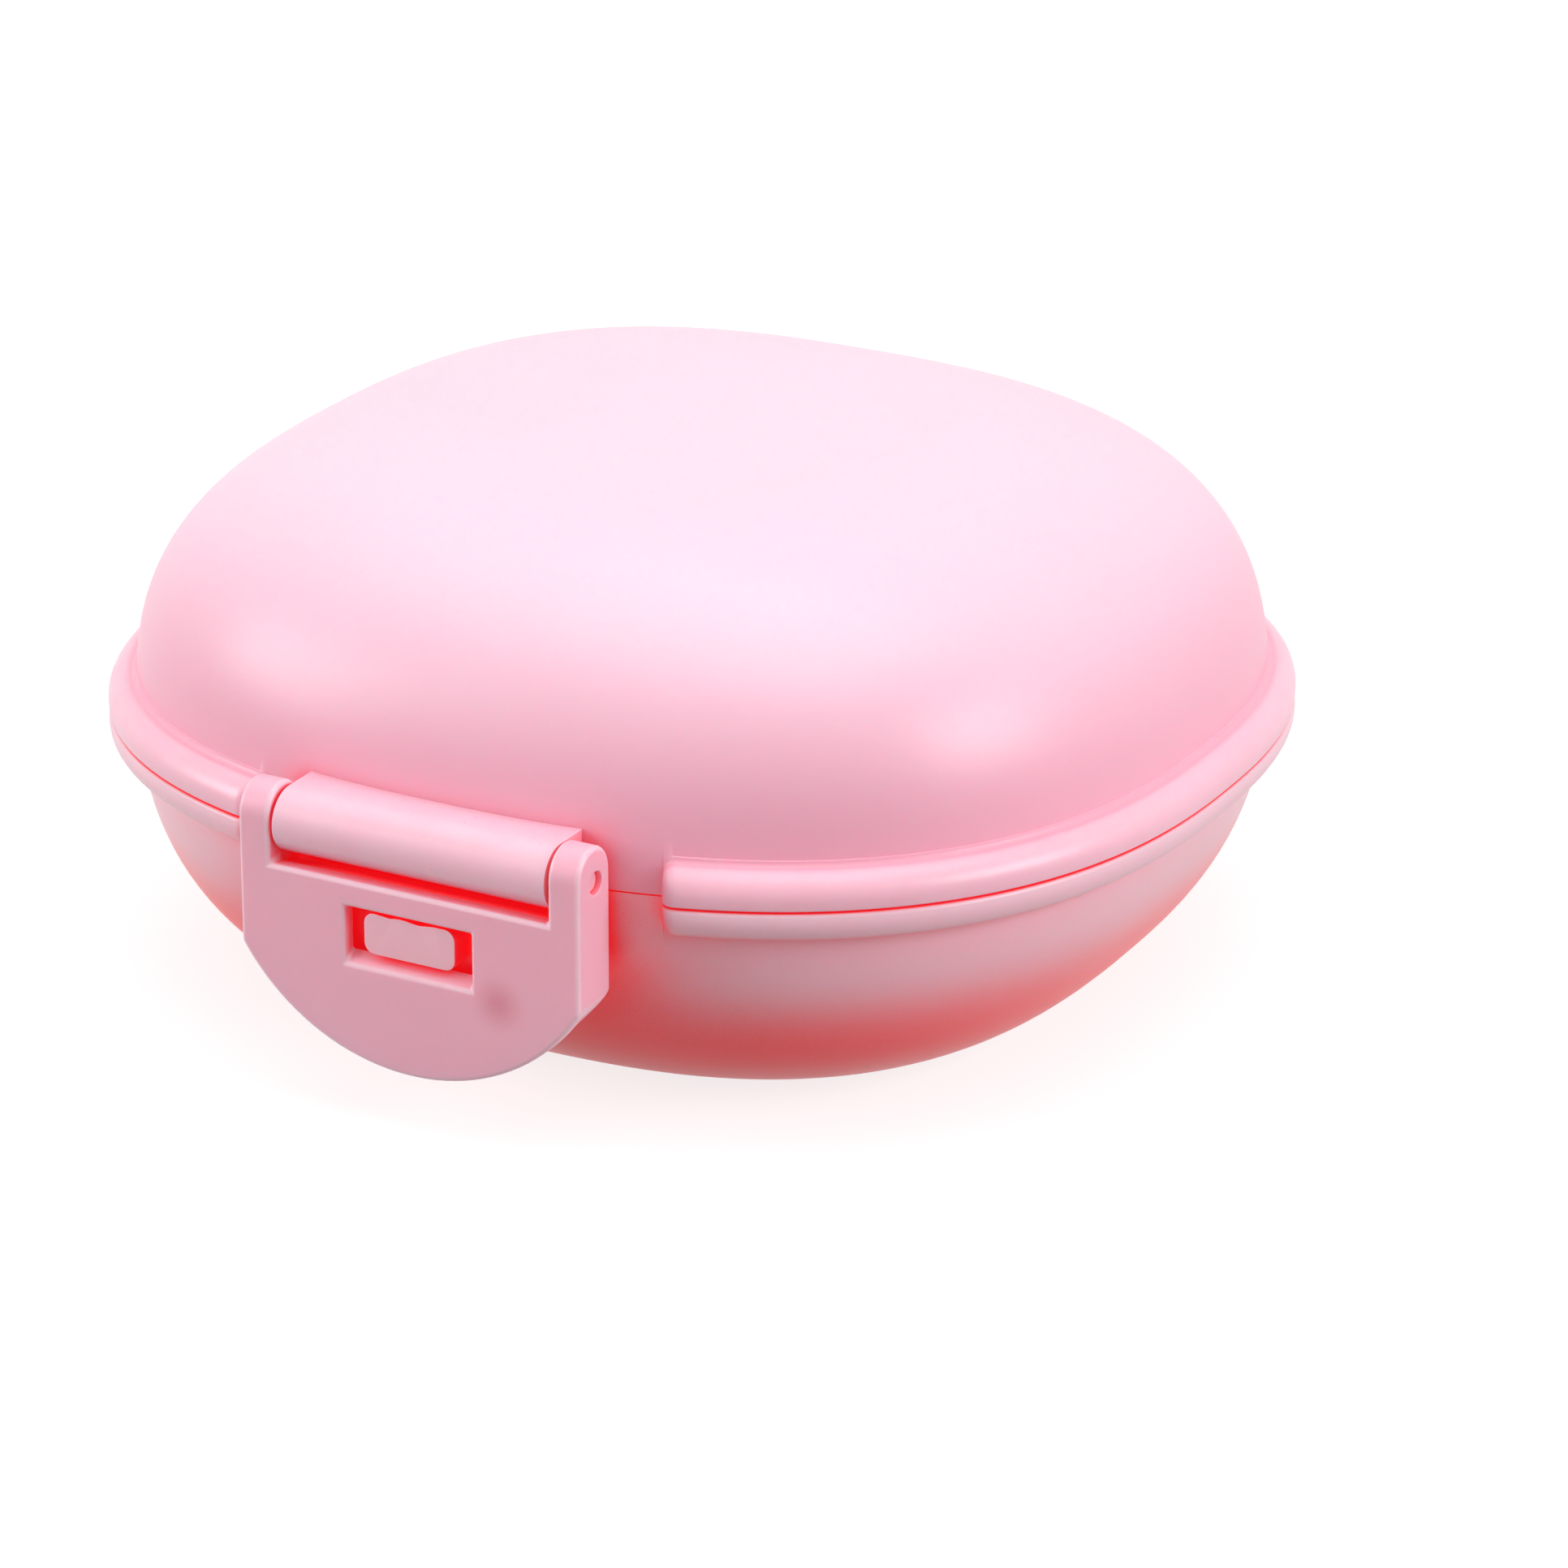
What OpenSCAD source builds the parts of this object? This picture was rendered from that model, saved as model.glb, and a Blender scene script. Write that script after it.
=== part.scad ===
// Travel soap box: a domed lid and a bowl on a rear pin hinge, held shut by a
// hinged clip plate that drops over a catch on the front of the bowl.
// Origin at the centre of the flat underside, +Z up, the clip towards -Y.

/* [Body] */
// Width over the rim beads
body_w = 87; // [72:0.5:110]
// Depth over the rim beads, without clip and hinge
body_d = 81.7; // [68:0.1:104]
// Height of the lid above the seam
lid_h = 21.3; // [17.7:0.1:28]
// Height of the seam above the underside
base_h = 19.7; // [16.4:0.1:26]
// Thickness of the moulded walls
wall = 1.6; // [1.3:0.1:2]
// Squareness of the outline at the seam, where 2 is an ellipse
squareness = 2.4; // [2.1:0.1:3]
// Squareness of the outline at the top and at the underside
end_squareness = 2.65; // [2.1:0.05:3]
// Share of the lid's half width that is nearly flat on top
lid_flat = 0.36; // [0.2:0.01:0.5]
// Fullness of the lid's shoulder, where 2 is round
lid_fullness = 2.42; // [2:0.01:3]
// Share of the bowl's half width that is flat underneath
base_flat = 0.6; // [0.45:0.01:0.68]
// Fullness of the bowl's side, where 2 is round
base_fullness = 1.95; // [1.8:0.01:2.6]
// Share of the lid's height that is a soft crown over the top
crown = 0.035; // [0.01:0.005:0.08]

/* [Rim] */
// How far the rim beads stand out from the walls
bead_proud = 2.1; // [1.6:0.1:2.6]
// Height of the bead on the lid
lid_bead_h = 3.0; // [2.4:0.1:3.6]
// Height of the bead on the bowl
base_bead_h = 2.8; // [2.3:0.1:3.4]
// Gap between the two beads
seam_gap = 0.2; // [0.1:0.05:0.4]
// Length of the rounded bead ends
bead_end = 1.2; // [0.8:0.1:2]
// Width of the lid's seal groove
groove_w = 1.5; // [1.2:0.1:1.8]
// Depth of the lid's seal groove above the seam
groove_h = 2.6; // [2.1:0.1:3.2]
// Thickness of the bowl's tongue, which enters the groove
tongue_t = 0.8; // [0.6:0.1:1]
// Thickness of the rib on the inner side of the groove
rib_t = 0.9; // [0.7:0.1:1.2]
// Height of the seal strip
seal_h = 1.1; // [0.9:0.1:1.4]

/* [Clip] */
// Width over the clip's ears
clip_w = 27.8; // [23:0.1:34]
// How far the clip's front face stands out from the beads
clip_proud = 2.55; // [2.1:0.05:3.1]
// Thickness of the clip plate
clip_t = 1.4; // [1.1:0.1:1.7]
// Thickness of each ear
ear_t = 2.5; // [2:0.1:3]
// Height of the clip's pivot above the seam
pivot_up = 1.9; // [1.5:0.1:2.3]
// Gap between the ears and the wall behind them
ear_gap = 0.15; // [0.1:0.05:0.4]
// Drop of the clip plate below the seam
clip_drop = 15; // [12.5:0.1:16]
// How far the radius of the plate's round lower edge exceeds half the clip's width
clip_bow = 2.5; // [2:0.1:4]
// Gap between the barrel and the plate's upper edge
barrel_gap = 0.6; // [0.4:0.05:0.8]
// Radius of the lid's round clip barrel
barrel_r = 2.4; // [2:0.05:2.45]
// Width of the window in the plate
window_w = 10.4; // [8.6:0.1:13]
// Height of the window at the plate's back
window_h = 3.6; // [3:0.1:4.4]
// Drop of the window's upper edge below the seam
window_top = 2.85; // [2.35:0.05:3.45]
// Gap at each side of the catch in the window
catch_side = 1.5; // [0.5:0.1:1.8]
// Radius of both pins
pin_r = 0.8; // [0.6:0.02:1]

/* [Hinge] */
// Width over the bowl's two hinge ears
hinge_w = 24; // [19:0.5:30]
// Width of the lid's knuckle between them
knuckle_w = 14; // [10:0.5:16.5]
// Radius of the hinge barrels
hinge_r = 2.2; // [1.8:0.05:2.7]
// Gap between the hinge barrels and the wall
hinge_gap = 0.45; // [0.4:0.05:0.8]

/* [Tray] */
// Gap under the drain tray
tray_gap = 3.8; // [3:0.1:5]
// Thickness of the tray's plate
tray_t = 1.6; // [1.2:0.1:2]
// Number of drain slots
slot_count = 9; // [5:2:11]
// Width of a drain slot
slot_w = 3; // [2:0.1:3.6]
// Height of the ridges that the soap lies on
ridge_h = 1.3; // [0.8:0.1:2]

/* [Hidden] */
$fn = 64;

moving_gap = 0.3;
snug_gap = 0.1;
tight_bore = 0.03;
running_bore = 0.07;
overlap = 0.1;
pin_recess = 0.4;

// The pivot sits this far behind the middle of the ears
pivot_behind = 0.25;
// Room over and under the catch in the window, behind the plate and above the pad
room_over_catch = 0.25;
room_under_catch = 0.25;
room_behind_plate = 0.9;
room_over_pad = 0.8;
pad_below_catch = 2.1;

wall_w = body_w / 2 - bead_proud;
wall_d = body_d / 2 - bead_proud;
bead_chamfer = 0.3;
bead_land = 0.6;
tongue_h = groove_h - seal_h - snug_gap;

// Levels inside the rims: the rib's root and the even wall above the groove, the bowl's inner edge
rib_root = 0.6;
inner_blend = 3.2;
bowl_edge = 1.2;
bowl_blend_angle = 8;

clip_front = -(body_d / 2 + clip_proud);
clip_back = clip_front + clip_t;
clip_r = clip_w / 2 + clip_bow;
ear_r = (clip_proud + bead_proud - ear_gap) / 2;
ear_in = clip_w / 2 - ear_t;
ear_back = clip_front + 2 * ear_r;
pivot_y = clip_front + ear_r + pivot_behind;
pivot_z = base_h + pivot_up;
// The ears' rounded tops rise as far as the wall beside them lets the raised clip swing
wall_at_ear = wall_d * pow(1 - pow(ear_in / wall_w, squareness), 1 / squareness);
ear_up = -wall_at_ear - pivot_y - ear_r - ear_gap;
plate_top = pivot_z - sqrt(pow(barrel_r + barrel_gap, 2) - pow(pivot_y - clip_back, 2));
// The ears' feet slope down to the front, both ends below the window's lower edge
ear_foot_back = 0.55;
ear_foot_front = 2.1;
barrel_w = 2 * (ear_in - moving_gap);
window_drop = window_top + window_h;
lip_slope = 0.8;
catch_top = window_top + room_over_catch;
catch_bottom = window_drop - room_under_catch;
catch_front = clip_front + moving_gap;
catch_w = window_w - 2 * catch_side;
catch_corner = 0.5;
pad_w = barrel_w;
pad_front = clip_back + room_behind_plate;
pad_top = barrel_r - pivot_up + room_over_pad;
pad_bottom = catch_bottom + pad_below_catch;
pad_chamfer = 0.8;
foot_share = 0.72;

hinge_y = wall_d + hinge_r + hinge_gap;
web_h = 4;
web_end = wall_d - wall + overlap;

// Bead ends, as distances from the middle of the front and of the back
bead_end_right = clip_w / 2 + 2.3;
bead_end_left = clip_w / 2 + 0.9;
bead_end_back = hinge_w / 2 + 2;

// Outline radius at angle a, for half sizes hw and hd and squareness n
function outline_r(a, hw, hd, n) = pow(pow(abs(cos(a)) / hw, n) + pow(abs(sin(a)) / hd, n), -1 / n);

// Outline radius at the seam, d outside the wall's outer face
function rim_r(a, d) = outline_r(a, wall_w + d, wall_d + d, squareness);

// Share of the half width and of the height at angle t up a shoulder
function shoulder(t, flat, m) = [flat + (1 - flat) * pow(cos(t), 2 / m), pow(sin(t), 2 / m)];

// Angle up the shoulder where the height is the share s
function shoulder_t(s, m) = asin(pow(s, m / 2));

// Share of the half width at the share s of the height
function width_share(s, flat, m) = shoulder(shoulder_t(s, m), flat, m)[0];

function squareness_at(s) = squareness + (end_squareness - squareness) * s;

// Radius and height of a shell's surface, inset below its outer face
function shell_point(a, t, inset, h, flat, m, top) =
  let (
    us = shoulder(t, flat, m),
    r = outline_r(a, wall_w - inset, wall_d - inset, squareness_at(us[1]))
  ) [r * us[0], (h - inset) * (us[1] * (1 - top) + top * (1 - us[0] * us[0]))];

// A bead's outline from the wall out and down to the seam, with share p of its depth
function bead(a, p, h) = concat(
  let (foot = seam_gap / 2 + bead_land)
    [for (b = [90:-22.5:0]) [rim_r(a, p * bead_proud * cos(b)), foot + (h - foot) * sin(b)]],
  [
    [rim_r(a, p * bead_proud), seam_gap / 2 + bead_chamfer],
    [rim_r(a, p * (bead_proud - bead_chamfer)), seam_gap / 2],
  ]
);

// Angles up a shoulder, n steps from the angle low to the top and back
function rising(low, n) = [for (i = [0:n]) low + (90 - low) * i / n];
function falling(low, n) = [for (i = [0:n]) 90 - (90 - low) * i / n];

// Both shells are swept round these places, each an angle and a share of the bead
beaded_count = 17;
bare_count = 5;
end_steps = [0, 0.12, 0.45, 1];
end_turn = bead_end / wall_d * 180 / PI;
front_right = -90 + asin(bead_end_right / wall_d);
front_left = 270 - asin(bead_end_left / wall_d);
back_right = 90 - asin(bead_end_back / wall_d);
back_left = 180 - back_right;
function end_share(s) = sqrt(1 - pow(1 - s, 2));
function beaded_arc(a, b, n) = concat(
  [for (s = end_steps) [a + s * end_turn, end_share(s)]],
  [for (i = [1:n - 1]) [a + end_turn + (b - a - 2 * end_turn) * i / n, 1]],
  [for (i = [len(end_steps) - 1:-1:0]) [b - end_steps[i] * end_turn, end_share(end_steps[i])]]
);
function bare_arc(a, b, n) = [for (i = [1:n - 1]) [a + (b - a) * i / n, 0]];
stations = concat(
  beaded_arc(front_right, back_right, beaded_count),
  bare_arc(back_right, back_left, bare_count),
  beaded_arc(back_left, front_left, beaded_count),
  bare_arc(front_left, front_right + 360, bare_count)
);

lid_steps = falling(shoulder_t(lid_bead_h / lid_h, lid_fullness), 8);
lid_inner_steps = rising(shoulder_t((groove_h + inner_blend) / (lid_h - wall), lid_fullness), 5);

// The lid's section at a station: radius and height above the seam
function lid_section(s) =
  let (a = s[0], rib_out = -wall - groove_w, rib_in = -wall - groove_w - rib_t) concat(
    [for (t = lid_steps) shell_point(a, t, 0, lid_h, lid_flat, lid_fullness, crown)],
    bead(a, s[1], lid_bead_h),
    [
      [rim_r(a, -wall), seam_gap / 2],
      [rim_r(a, -wall), groove_h],
      [rim_r(a, rib_out), groove_h],
      [rim_r(a, rib_out), seam_gap / 2 + moving_gap],
      [rim_r(a, rib_in), seam_gap / 2 + moving_gap],
      [rim_r(a, rib_in), groove_h + rib_root],
    ],
    [for (t = lid_inner_steps) shell_point(a, t, wall, lid_h, lid_flat, lid_fullness, crown)]
  );

base_steps = falling(shoulder_t(base_bead_h / base_h, base_fullness), 7);
base_inner_steps = rising(bowl_blend_angle, 6);
tongue_out = -wall - (groove_w - tongue_t) / 2;

// The bowl's section at a station: radius and depth below the seam
function base_section(s) =
  let (a = s[0]) concat(
    [for (t = base_steps) shell_point(a, t, 0, base_h, base_flat, base_fullness, 0)],
    bead(a, s[1], base_bead_h),
    [
      [rim_r(a, tongue_out), seam_gap / 2],
      [rim_r(a, tongue_out), -tongue_h],
      [rim_r(a, tongue_out - tongue_t), -tongue_h],
      [rim_r(a, tongue_out - tongue_t), bowl_edge],
    ],
    [for (t = base_inner_steps) shell_point(a, t, wall, base_h, base_flat, base_fullness, 0)]
  );

// A closed shell swept through sections that run from the outer to the inner pole
module swept_shell(sections, outer_pole, inner_pole) {
  n = len(stations);
  m = len(sections[0]);
  rings = [for (i = [0:n - 1]) for (p = sections[i]) [p[0] * cos(stations[i][0]), p[0] * sin(stations[i][0]), p[1]]];
  sides = [
    for (i = [0:n - 1], j = [0:m - 2])
      let (a = i * m + j, b = (i + 1) % n * m + j)
        each [[a, b, b + 1], [a, b + 1, a + 1]]
  ];
  outer_fan = [for (i = [0:n - 1]) [n * m, (i + 1) % n * m, i * m]];
  inner_fan = [for (i = [0:n - 1]) [n * m + 1, i * m + m - 1, (i + 1) % n * m + m - 1]];
  polyhedron(concat(rings, [[0, 0, outer_pole], [0, 0, inner_pole]]), concat(sides, outer_fan, inner_fan));
}

// The flat outline at the seam, d outside the wall, as a polygon
module rim_outline(d) {
  polygon([for (s = stations) let (r = rim_r(s[0], d)) [r * cos(s[0]), r * sin(s[0])]]);
}

// Extrudes a flat shape drawn in Y and Z along X, centred on X = at
module along_x(length, at = 0) {
  translate([at - length / 2, 0, 0]) rotate([90, 0, 90]) linear_extrude(length) children();
}

// Extrudes a flat shape drawn in X and Z towards the back, from the depth y
module along_y(y, length) {
  translate([0, y + length, 0]) rotate([90, 0, 0]) linear_extrude(length) children();
}

module rounded_rectangle(w, h, r) {
  translate([-w / 2 + r, 0]) square([w - 2 * r, h]);
  translate([-w / 2, r]) square([w, h - 2 * r]);
  for (x = [-1, 1], z = [r, h - r]) translate([x * (w / 2 - r), z]) circle(r, $fn = 24);
}

module bore(r, y, z) {
  translate([-body_w / 2, y, z]) rotate([0, 90, 0]) cylinder(h = body_w, r = r);
}

// The lid's bracket for the clip: a round barrel with a flat-topped web to the wall
module clip_bracket() {
  along_x(barrel_w) {
    translate([pivot_y, pivot_z]) circle(barrel_r);
    polygon([
      [pivot_y, pivot_z + barrel_r],
      [-web_end, pivot_z + barrel_r],
      [-web_end, base_h + moving_gap],
      [pivot_y, base_h + moving_gap],
    ]);
  }
}

// One hinge knuckle with its web to the wall, above the seam with side 1, below with -1
module hinge_knuckle(width, at, side) {
  along_x(width, at) {
    translate([hinge_y, base_h]) circle(hinge_r);
    polygon([
      [hinge_y, base_h + side * hinge_r],
      [web_end, base_h + side * web_h],
      [web_end, base_h + side * moving_gap],
      [hinge_y, base_h + side * moving_gap],
    ]);
  }
}

// The raised pad on the bowl's front and the catch that the clip's window drops over
module catch_pad() {
  pad_in = function (drop) wall - moving_gap - wall_d * width_share(drop / base_h, base_flat, base_fullness);
  along_x(pad_w) polygon([
    [pad_front, base_h - pad_top],
    [pad_in(pad_top), base_h - pad_top],
    [pad_in(pad_bottom), base_h - pad_bottom],
    [pad_front + pad_chamfer, base_h - pad_bottom],
    [pad_front, base_h - pad_bottom + pad_chamfer],
  ]);
  translate([0, 0, base_h - catch_bottom])
    along_y(catch_front, pad_front - catch_front + overlap)
      rounded_rectangle(catch_w, catch_bottom - catch_top, catch_corner);
}

module base_shell() {
  ear_w = (hinge_w - knuckle_w) / 2 - moving_gap;
  color("#f2b3c6") difference() {
    union() {
      translate([0, 0, base_h]) mirror([0, 0, 1])
        swept_shell([for (s = stations) base_section(s)], base_h, base_h - wall);
      for (side = [-1, 1]) hinge_knuckle(ear_w, side * (hinge_w - ear_w) / 2, -1);
      catch_pad();
    }
    bore(pin_r + tight_bore, hinge_y, base_h);
  }
}

module lid_shell() {
  color("#f7c3d4") difference() {
    union() {
      translate([0, 0, base_h])
        swept_shell([for (s = stations) lid_section(s)], lid_h, lid_h - wall);
      hinge_knuckle(knuckle_w, 0, 1);
      clip_bracket();
    }
    bore(pin_r + running_bore, hinge_y, base_h);
    bore(pin_r + tight_bore, pivot_y, pivot_z);
  }
}

// The clip's side view, an ear with a round top and a chamfered foot
module ear_profile() {
  translate([clip_front + ear_r, pivot_z + ear_up]) circle(ear_r);
  polygon([
    [clip_front, pivot_z + ear_up],
    [ear_back, pivot_z + ear_up],
    [ear_back, base_h - window_drop - ear_foot_back],
    [clip_back, base_h - window_drop - ear_foot_front],
    [clip_front, base_h - window_drop - ear_foot_front],
  ]);
}

module latch_plate() {
  window_back = base_h - window_drop;
  lip_rise = overlap * lip_slope / clip_t;
  margin = 1;
  color("#f4bccd") difference() {
    intersection() {
      union() {
        along_x(clip_w)
          translate([clip_front, base_h - clip_drop - margin])
            square([clip_t, plate_top - base_h + clip_drop + margin]);
        for (side = [-1, 1]) along_x(ear_t, side * (clip_w - ear_t) / 2) ear_profile();
      }
      along_y(clip_front - margin, 2 * (ear_r + margin)) {
        intersection() {
          translate([0, base_h - clip_drop + clip_r]) circle(clip_r, $fn = 96);
          translate([-clip_w / 2, base_h - clip_drop]) square([clip_w, clip_drop]);
        }
        translate([-clip_w / 2, base_h - overlap]) square([clip_w, pivot_up + 2 * ear_r + margin]);
      }
    }
    along_x(window_w) polygon([
      [clip_front - overlap, base_h - window_top],
      [clip_back + overlap, base_h - window_top],
      [clip_back + overlap, window_back + lip_rise],
      [clip_front - overlap, window_back - lip_slope - lip_rise],
    ]);
    bore(pin_r + running_bore, pivot_y, pivot_z);
  }
}

module cross_pin(length, y, z) {
  translate([-length / 2, y, z]) rotate([0, 90, 0]) cylinder(h = length, r = pin_r);
}

module latch_pin() {
  color("#f2b3c6") cross_pin(clip_w - 2 * pin_recess, pivot_y, pivot_z);
}

module hinge_pin() {
  color("#c9ccd1") cross_pin(hinge_w - 2 * pin_recess, hinge_y, base_h);
}

// The drain tray stands on four feet in the bowl and follows its wall
module drain_tray() {
  low = wall + tray_gap;
  depth_share = (base_h - low) / (base_h - wall);
  share = width_share(depth_share, base_flat, base_fullness);
  tray_w = (wall_w - wall) * share - 2 * moving_gap;
  tray_d = (wall_d - wall) * share - 2 * moving_gap;
  n = squareness_at(depth_share);
  edge = 3.5;
  pitch = 2 * (tray_w - edge) / (slot_count + 1);
  foot_r = 2.2;
  floor_w = (wall_w - wall) * base_flat - foot_r - moving_gap;
  floor_d = (wall_d - wall) * base_flat - foot_r - moving_gap;
  rib = floor(floor_w * foot_share / pitch - 0.5) + 0.5;
  foot_x = rib * pitch;
  foot_y = floor_d * foot_share;
  half_length = function (x) (tray_d - edge) * pow(1 - pow(abs(x) / (tray_w - edge), n), 1 / n);
  module tray_outline(inset) {
    polygon([for (a = [0:6:354]) let (r = outline_r(a, tray_w - inset, tray_d - inset, n)) [r * cos(a), r * sin(a)]]);
  }
  color("#f6ccd8") {
    translate([0, 0, low]) linear_extrude(tray_t) difference() {
      tray_outline(0);
      for (i = [-(slot_count - 1) / 2:(slot_count - 1) / 2])
        let (x = i * pitch, length = 2 * half_length(x) - slot_w)
          translate([x, -length / 2]) {
            translate([-slot_w / 2, 0]) square([slot_w, length]);
            for (end = [0, length]) translate([0, end]) circle(slot_w / 2, $fn = 24);
          }
    }
    for (i = [-slot_count / 2 + 1:slot_count / 2 - 1])
      let (x = i * pitch, length = 2 * half_length(x) - 2 * edge)
        translate([x - ridge_h / 2, -length / 2, low + tray_t - overlap]) cube([ridge_h, length, ridge_h + overlap]);
    for (x = [-foot_x, foot_x], y = [-foot_y, foot_y])
      translate([x, y, wall]) cylinder(h = tray_gap + overlap, r = foot_r);
  }
}

// The seal strip lies against the roof of the lid's groove, over the tongue
module seal_ring() {
  color("#f3f1ee") translate([0, 0, base_h + groove_h - seal_h]) linear_extrude(seal_h) difference() {
    rim_outline(-wall - snug_gap);
    rim_outline(-wall - groove_w + snug_gap);
  }
}

base_shell();
lid_shell();
latch_plate();
latch_pin();
hinge_pin();
drain_tray();
seal_ring();
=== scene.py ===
# Looks of the travel soap box: satin pink shells, the clip, both pins, the drain tray and the seal strip,
# on a pale floor in soft studio light, seen as in the photograph.
# Lengths are in millimetres until a piece is finished, and every piece sits where the frame has it.

import math

import bmesh
import bpy
import numpy as np
from mathutils import Matrix, Vector


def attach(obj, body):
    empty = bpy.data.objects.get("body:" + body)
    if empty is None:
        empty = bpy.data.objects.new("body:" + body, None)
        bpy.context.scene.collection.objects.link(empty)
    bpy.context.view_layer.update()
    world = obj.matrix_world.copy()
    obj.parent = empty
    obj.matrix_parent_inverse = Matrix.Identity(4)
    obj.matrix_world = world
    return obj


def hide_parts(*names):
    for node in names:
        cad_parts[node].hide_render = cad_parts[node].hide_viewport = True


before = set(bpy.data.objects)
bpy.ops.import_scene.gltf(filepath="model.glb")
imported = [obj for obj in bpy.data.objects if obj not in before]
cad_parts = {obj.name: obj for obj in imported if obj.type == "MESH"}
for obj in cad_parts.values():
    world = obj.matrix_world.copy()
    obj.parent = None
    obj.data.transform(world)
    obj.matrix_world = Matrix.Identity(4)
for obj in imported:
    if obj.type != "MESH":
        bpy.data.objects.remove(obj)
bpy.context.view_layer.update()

MM = 0.001

# Tolerances, how far joined shapes reach into each other, and the turn in degrees that shows as a corner
MERGE = 1e-4
NEAR = 1e-3
TINY = 1e-6
OVERLAP = 0.1
SHARP_TURN = 38

# Main sizes of the moulded shells
BASE_H = 19.7
LID_H = 21.3
WALL = 1.6
WALL_W = 41.4
WALL_D = 38.75
SQUARENESS = 2.4
END_SQUARENESS = 2.65
LID_FLAT = 0.36
LID_FULLNESS = 2.42
CROWN = 0.035
BASE_FLAT = 0.6
BASE_FULLNESS = 1.95
POLE_STEPS = 6

# Rim beads, seam, groove and tongue. A bead loses the share END_DROP of its height at its ends.
# Its crest gets a painted highlight from CREST_START outside the wall and from CREST_LOW above the seam.
BEAD_PROUD = 2.1
LID_BEAD_H = 3.0
BASE_BEAD_H = 2.8
SEAM = 0.06
BEAD_FOOT = 0.7
LID_LIP = 0.2
BOWL_LIP = 0.35
CREASE_ROUND = 0.45
END_ROUND = 0.9
END_DROP = 0.85
CREST_START = 0.6
CREST_LOW = 0.15
LID_CREST_PALE = 0.5
BOWL_CREST_PALE = 0.2
RIGHT_END_X = 16.2
LEFT_END_X = 14.8
BACK_END_X = 14.0
BEAD_STEPS = 150
BARE_STEPS = 24
GROOVE_W = 1.5
GROOVE_H = 2.6
RIB_T = 0.9
RIB_TOP = 3.2
RIB_FOOT = 0.4
ROOF_RISE = 3.2
TONGUE_T = 0.8
TONGUE_H = 1.4
TONGUE_FOOT = 1.2
SEAL_H = 1.1
SEAL_GAP = 0.1
SEAL_ROUND = 0.3
LIP_ROUND = 0.2

# Clip, bracket and catch
PIVOT_Y = -40.9
PIVOT_Z = 21.6
CLIP_FRONT = -43.4
BARREL_R = 2.4
BARREL_W = 22.2
# Share of painted highlight along the barrel
BARREL_PALE = 0.7
CLIP_W = 27.8
CLIP_ROUND = 0.5
WEB_END = 37.25
WEB_ROUND = 0.25
PAD_FRONT = -41.1
PAD_TOP = 1.3
PAD_BOTTOM = 8.3
PAD_CHAMFER = 0.8
PAD_CORNER = 0.45
PAD_ROUND = 0.4
WINDOW_W = 10.4
WINDOW_TOP = 2.85
WINDOW_FOOT = 7.25
WINDOW_ROUND = 0.3
CATCH_W = 7.4
CATCH_FRONT = -43.1
CATCH_TOP = 3.1
CATCH_BOTTOM = 6.2
CATCH_CORNER = 0.8
CATCH_ROUND = 0.55
CATCH_ROOT = 0.3
WORN_DEPTH = 0.07
WORN_START = -1.6
WORN_END = 2.2
WORN_WAVES = 2.2

# Rear hinge and both pins
HINGE_Y = 41.4
HINGE_R = 2.2
HINGE_W = 24.0
KNUCKLE_W = 14.0
HINGE_WEB_H = 4.0
MOVING_GAP = 0.3
PIN_R = 0.8
PIN_CHAMFER = 0.2
PIN_RECESS = 0.4
TIGHT_BORE = 0.83
BORE_ROUND = 0.08

# Drain tray
TRAY_LOW = 5.4
TRAY_T = 1.6
SLOT_COUNT = 9
SLOT_W = 3.0
RIDGE_H = 1.3
RIDGE_ROUND = 0.4
TRAY_EDGE = 3.5
TRAY_ROUND = 0.35
TRAY_STEPS = 120
FOOT_R = 2.2
FOOT_TAPER = 0.3
FOOT_Y = 14.25

# Colours that several surfaces share, and kinds of group socket
DARK = (0, 0, 0, 1)
WHITE = (1, 1, 1, 1)
# Colour of a spot of painted shade on the clip's plate.
SPOT_SHADE_COLOUR = (0.72, 0.2, 0.26, 1)
DUST_COLOUR = (0.5, 0.3, 0.32, 1)
NUMBER = "NodeSocketFloat"
COLOUR = "NodeSocketColor"

# Light, and the camera, in metres and degrees, that a fit to the photograph's outline gave
AMBIENT = 0.38
FLOOR_TONE = (0.3, 0.3, 0.3, 1)
FLOOR_GLOW = 0.8
CAMERA_AZIMUTH = 28.7
CAMERA_ELEVATION = 21.34
CAMERA_DISTANCE = 0.45
CAMERA_LENS = 136.1
CAMERA_SHIFT = (0.0512, -0.0633)


# Nodes and materials


def add_node(tree, kind, inputs=None, **settings):
    """Adds a node; inputs gives its sockets a value or another node's output."""
    node = tree.nodes.new(kind)
    for name, value in settings.items():
        setattr(node, name, value)
    for name, value in (inputs or {}).items():
        if isinstance(value, bpy.types.NodeSocket):
            tree.links.new(value, node.inputs[name])
        else:
            node.inputs[name].default_value = value
    return node


def calculate(tree, operation, *values):
    return add_node(tree, "ShaderNodeMath", dict(enumerate(values)), operation=operation).outputs[0]


def remap(tree, value, low, high):
    """0 at low and 1 at high, with a smooth passage."""
    inputs = {"Value": value, "From Min": low, "From Max": high}
    return add_node(tree, "ShaderNodeMapRange", inputs, interpolation_type="SMOOTHSTEP").outputs["Result"]


def blend_colours(tree, share, first, second):
    """From the first colour to the second; 6 and 7 are the Mix node's colour sockets."""
    inputs = {"Factor": share, 6: first, 7: second}
    return add_node(tree, "ShaderNodeMix", inputs, data_type="RGBA").outputs[2]


def mapped(tree, place, **change):
    """A place changed by a Mapping node's Rotation or Scale."""
    return add_node(tree, "ShaderNodeMapping", {"Vector": place, **change}).outputs["Vector"]


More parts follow.
